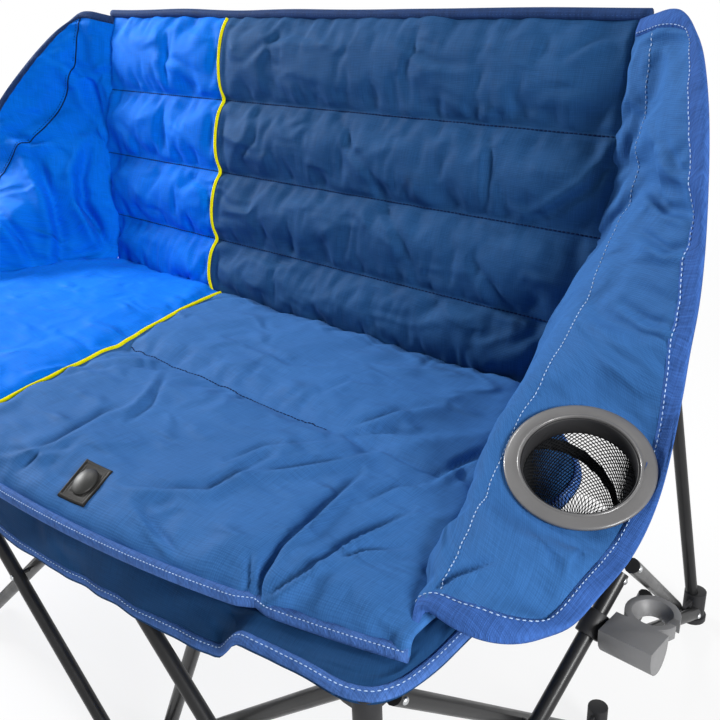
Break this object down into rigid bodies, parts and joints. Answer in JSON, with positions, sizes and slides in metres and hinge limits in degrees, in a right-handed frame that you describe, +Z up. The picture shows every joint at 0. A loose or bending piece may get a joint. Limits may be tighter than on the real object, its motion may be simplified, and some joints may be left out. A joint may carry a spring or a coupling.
{
  "type": "folding camping loveseat",
  "caption": "Folding two-seat camp chair: crossed steel tubes on pivoting plastic hubs carry a quilted fabric seat, back and arms with mesh cup holders and a stem holder",
  "frame": {"origin": "on the floor, under the middle of the bounding box", "axes": "+X to the right as seen from the front, +Y to the back, +Z up"},
  "size_m": [1.4086, 0.7382, 0.8154],
  "materials": {
    "steel_tube": "satin black paint",
    "black_plastic": "matte",
    "grey_plastic": "satin",
    "navy_cloth": "plain weave",
    "blue_cloth": "plain weave",
    "yellow_piping": "woven tape",
    "black_mesh": "open mesh",
    "black_leather": "grained",
    "black_snap": "satin black"
  },
  "bodies": {
    "base": {"foot_front_mid_right": "black_plastic", "back_pad": "navy_cloth", "seat_pad": "navy_cloth", "front_valance": "navy_cloth", "piping_back": "yellow_piping", "piping_seat": "yellow_piping", "patch": "black_leather", "snap": "black_snap"},
    "centre_front": {"tube_centre_front": "steel_tube"},
    "centre_rear": {"tube_centre_rear": "steel_tube"},
    "mid_hub_left": {"hub_front_mid_left": "black_plastic"},
    "mid_hub_right": {"hub_front_mid_right": "black_plastic"},
    "mid_foot_left": {"foot_front_mid_left": "black_plastic"},
    "right_front": {"tube_right_front": "steel_tube"},
    "right_rear": {"tube_right_rear": "steel_tube"},
    "left_front": {"tube_left_front": "steel_tube"},
    "left_rear": {"tube_left_rear": "steel_tube"},
    "strut_right": {"strut_right": "steel_tube"},
    "strut_left": {"strut_left": "steel_tube"},
    "corner_foot_right": {"foot_corner_right": "black_plastic", "leg_front_right": "steel_tube"},
    "corner_foot_left": {"foot_corner_left": "black_plastic", "leg_front_left": "steel_tube"},
    "corner_hub_right": {"hub_corner_right": "black_plastic", "inner_post_right": "steel_tube"},
    "corner_hub_left": {"hub_corner_left": "black_plastic", "inner_post_left": "steel_tube"},
    "down_right": {"side_down_tube_right": "steel_tube"},
    "down_left": {"side_down_tube_left": "steel_tube"},
    "side_foot_right": {"foot_side_right": "black_plastic"},
    "side_foot_left": {"foot_side_left": "black_plastic"},
    "long_right": {"side_long_tube_right": "steel_tube", "holder_collar": "black_plastic", "stem_holder": "grey_plastic"},
    "long_left": {"side_long_tube_left": "steel_tube"},
    "side_hub_right": {"hub_side_right": "black_plastic", "arm_right": "navy_cloth", "cup_ring_right": "grey_plastic", "cup_basket_right": "black_mesh"},
    "side_hub_left": {"hub_side_left": "black_plastic", "arm_left": "blue_cloth", "cup_ring_left": "grey_plastic", "cup_basket_left": "black_mesh"},
    "rear_arm_right": {"rear_arm_right": "steel_tube", "rear_brace_right": "steel_tube"},
    "rear_arm_left": {"rear_arm_left": "steel_tube", "rear_brace_left": "steel_tube"},
    "rear_foot_right": {"foot_rear_right": "black_plastic", "rear_post_right": "steel_tube"},
    "rear_foot_left": {"foot_rear_left": "black_plastic", "rear_post_left": "steel_tube"},
    "knee_right": {"inner_tube_right": "steel_tube"},
    "knee_left": {"inner_tube_left": "steel_tube"},
    "under_foot_right": {"foot_mid_right": "black_plastic"},
    "under_foot_left": {"foot_mid_left": "black_plastic"},
    "trestle_a": {"trestle_front": "steel_tube"},
    "trestle_b": {"trestle_rear": "steel_tube"}
  },
  "joints": [
    {"name": "fold", "type": "hinge", "parent": "base", "child": "centre_front", "pos_m": [0.174, -0.32807, 0.029], "axis": [0, 1, 0], "range_deg": [0, 38], "deforming": ["back_pad", "seat_pad", "front_valance", "piping_back", "piping_seat", "patch", "snap", "arm_right", "arm_left", "cup_basket_right", "cup_basket_left"]},
    {"name": "centre_cross", "type": "hinge", "parent": "centre_front", "child": "centre_rear", "pos_m": [0, -0.32807, 0.1835], "axis": [0, 1, 0], "range_deg": [-76, 0]},
    {"name": "mid_hub_left_turn", "type": "hinge", "parent": "centre_front", "child": "mid_hub_left", "pos_m": [-0.174, -0.32807, 0.338], "axis": [0, 1, 0], "range_deg": [-38, 0]},
    {"name": "mid_foot_left_turn", "type": "hinge", "parent": "centre_rear", "child": "mid_foot_left", "pos_m": [-0.174, -0.32807, 0.029], "axis": [0, 1, 0], "range_deg": [0, 38]},
    {"name": "mid_hub_right_turn", "type": "hinge", "parent": "centre_rear", "child": "mid_hub_right", "pos_m": [0.174, -0.32807, 0.338], "axis": [0, 1, 0], "range_deg": [0, 38]},
    {"name": "right_front_turn", "type": "hinge", "parent": "mid_hub_right", "child": "right_front", "pos_m": [0.222, -0.32807, 0.338], "axis": [0, 1, 0], "range_deg": [0, 38]},
    {"name": "right_rear_turn", "type": "hinge", "parent": "base", "child": "right_rear", "pos_m": [0.222, -0.32807, 0.029], "axis": [0, 1, 0], "range_deg": [-38, 0]},
    {"name": "left_front_turn", "type": "hinge", "parent": "mid_hub_left", "child": "left_front", "pos_m": [-0.222, -0.32807, 0.338], "axis": [0, 1, 0], "range_deg": [-38, 0]},
    {"name": "left_rear_turn", "type": "hinge", "parent": "mid_foot_left", "child": "left_rear", "pos_m": [-0.222, -0.32807, 0.029], "axis": [0, 1, 0], "range_deg": [0, 38]},
    {"name": "strut_right_turn", "type": "hinge", "parent": "base", "child": "strut_right", "pos_m": [0.222, -0.295, 0.029], "axis": [0, 1, 0], "range_deg": [-15.2, 0]},
    {"name": "strut_left_turn", "type": "hinge", "parent": "mid_foot_left", "child": "strut_left", "pos_m": [-0.222, -0.295, 0.029], "axis": [0, 1, 0], "range_deg": [0, 15.2]},
    {"name": "corner_foot_right_turn", "type": "hinge", "parent": "right_front", "child": "corner_foot_right", "pos_m": [0.57, -0.32807, 0.029], "axis": [0, 1, 0], "range_deg": [-38, 0]},
    {"name": "corner_foot_left_turn", "type": "hinge", "parent": "left_front", "child": "corner_foot_left", "pos_m": [-0.57, -0.32807, 0.029], "axis": [0, 1, 0], "range_deg": [0, 38]},
    {"name": "corner_hub_right_turn", "type": "hinge", "parent": "right_rear", "child": "corner_hub_right", "pos_m": [0.57, -0.32807, 0.338], "axis": [0, 1, 0], "range_deg": [0, 38]},
    {"name": "corner_hub_left_turn", "type": "hinge", "parent": "left_rear", "child": "corner_hub_left", "pos_m": [-0.57, -0.32807, 0.338], "axis": [0, 1, 0], "range_deg": [-38, 0]},
    {"name": "down_right_turn", "type": "hinge", "parent": "corner_hub_right", "child": "down_right", "pos_m": [0.594, -0.30407, 0.338], "axis": [1, 0, 0], "range_deg": [-38, 0]},
    {"name": "down_left_turn", "type": "hinge", "parent": "corner_hub_left", "child": "down_left", "pos_m": [-0.594, -0.30407, 0.338], "axis": [1, 0, 0], "range_deg": [-38, 0]},
    {"name": "side_foot_right_turn", "type": "hinge", "parent": "down_right", "child": "side_foot_right", "pos_m": [0.594, 0.04393, 0.029], "axis": [1, 0, 0], "range_deg": [0, 38]},
    {"name": "side_foot_left_turn", "type": "hinge", "parent": "down_left", "child": "side_foot_left", "pos_m": [-0.594, 0.04393, 0.029], "axis": [1, 0, 0], "range_deg": [0, 38]},
    {"name": "long_right_turn", "type": "hinge", "parent": "corner_foot_right", "child": "long_right", "pos_m": [0.594, -0.30407, 0.029], "axis": [1, 0, 0], "range_deg": [0, 38]},
    {"name": "long_left_turn", "type": "hinge", "parent": "corner_foot_left", "child": "long_left", "pos_m": [-0.594, -0.30407, 0.029], "axis": [1, 0, 0], "range_deg": [0, 38]},
    {"name": "side_hub_right_turn", "type": "hinge", "parent": "long_right", "child": "side_hub_right", "pos_m": [0.625, -0.0045, 0.295], "axis": [1, 0, 0], "range_deg": [-38, 0]},
    {"name": "side_hub_left_turn", "type": "hinge", "parent": "long_left", "child": "side_hub_left", "pos_m": [-0.625, -0.0045, 0.295], "axis": [1, 0, 0], "range_deg": [-38, 0]},
    {"name": "rear_arm_right_turn", "type": "hinge", "parent": "side_hub_right", "child": "rear_arm_right", "pos_m": [0.625, 0.0235, 0.295], "axis": [1, 0, 0], "range_deg": [-38, 0]},
    {"name": "rear_arm_left_turn", "type": "hinge", "parent": "side_hub_left", "child": "rear_arm_left", "pos_m": [-0.625, 0.0235, 0.295], "axis": [1, 0, 0], "range_deg": [-38, 0]},
    {"name": "rear_foot_right_turn", "type": "hinge", "parent": "rear_arm_right", "child": "rear_foot_right", "pos_m": [0.588, 0.32307, 0.029], "axis": [1, 0, 0], "range_deg": [0, 38]},
    {"name": "rear_foot_left_turn", "type": "hinge", "parent": "rear_arm_left", "child": "rear_foot_left", "pos_m": [-0.588, 0.32307, 0.029], "axis": [1, 0, 0], "range_deg": [0, 38]},
    {"name": "knee_right_turn", "type": "hinge", "parent": "side_hub_right", "child": "knee_right", "pos_m": [0.57, 0.0095, 0.295], "axis": [0, 1, 0], "range_deg": [-38, 0]},
    {"name": "knee_left_turn", "type": "hinge", "parent": "side_hub_left", "child": "knee_left", "pos_m": [-0.57, 0.0095, 0.295], "axis": [0, 1, 0], "range_deg": [0, 38]},
    {"name": "under_foot_right_turn", "type": "hinge", "parent": "knee_right", "child": "under_foot_right", "pos_m": [0.27043, 0.0095, 0.029], "axis": [0, 1, 0], "range_deg": [0, 38]},
    {"name": "under_foot_left_turn", "type": "hinge", "parent": "knee_left", "child": "under_foot_left", "pos_m": [-0.27043, 0.0095, 0.029], "axis": [0, 1, 0], "range_deg": [-38, 0]},
    {"name": "trestle_a_turn", "type": "hinge", "parent": "under_foot_right", "child": "trestle_a", "pos_m": [0.22243, 0.0095, 0.029], "axis": [0, 1, 0], "range_deg": [0, 38]},
    {"name": "trestle_cross", "type": "hinge", "parent": "trestle_a", "child": "trestle_b", "pos_m": [0, 0.0095, 0.2265], "axis": [0, 1, 0], "range_deg": [-76, 0]}
  ],
  "couplings": [
    {"joint": "centre_cross", "follows": "fold", "ratio": -2},
    {"joint": "mid_hub_left_turn", "follows": "fold", "ratio": -1},
    {"joint": "mid_foot_left_turn", "follows": "fold", "ratio": 1},
    {"joint": "mid_hub_right_turn", "follows": "fold", "ratio": 1},
    {"joint": "right_front_turn", "follows": "fold", "ratio": 1},
    {"joint": "right_rear_turn", "follows": "fold", "ratio": -1},
    {"joint": "left_front_turn", "follows": "fold", "ratio": -1},
    {"joint": "left_rear_turn", "follows": "fold", "ratio": 1},
    {"joint": "strut_right_turn", "follows": "fold", "ratio": -0.4},
    {"joint": "strut_left_turn", "follows": "fold", "ratio": 0.4},
    {"joint": "corner_foot_right_turn", "follows": "fold", "ratio": -1},
    {"joint": "corner_foot_left_turn", "follows": "fold", "ratio": 1},
    {"joint": "corner_hub_right_turn", "follows": "fold", "ratio": 1},
    {"joint": "corner_hub_left_turn", "follows": "fold", "ratio": -1},
    {"joint": "down_right_turn", "follows": "fold", "ratio": -1},
    {"joint": "down_left_turn", "follows": "fold", "ratio": -1},
    {"joint": "side_foot_right_turn", "follows": "fold", "ratio": 1},
    {"joint": "side_foot_left_turn", "follows": "fold", "ratio": 1},
    {"joint": "long_right_turn", "follows": "fold", "ratio": 1},
    {"joint": "long_left_turn", "follows": "fold", "ratio": 1},
    {"joint": "side_hub_right_turn", "follows": "fold", "ratio": -1},
    {"joint": "side_hub_left_turn", "follows": "fold", "ratio": -1},
    {"joint": "rear_arm_right_turn", "follows": "fold", "ratio": -1},
    {"joint": "rear_arm_left_turn", "follows": "fold", "ratio": -1},
    {"joint": "rear_foot_right_turn", "follows": "fold", "ratio": 1},
    {"joint": "rear_foot_left_turn", "follows": "fold", "ratio": 1},
    {"joint": "knee_right_turn", "follows": "fold", "ratio": -1},
    {"joint": "knee_left_turn", "follows": "fold", "ratio": 1},
    {"joint": "under_foot_right_turn", "follows": "fold", "ratio": 1},
    {"joint": "under_foot_left_turn", "follows": "fold", "ratio": -1},
    {"joint": "trestle_a_turn", "follows": "fold", "ratio": 1},
    {"joint": "trestle_cross", "follows": "fold", "ratio": -2}
  ]
}
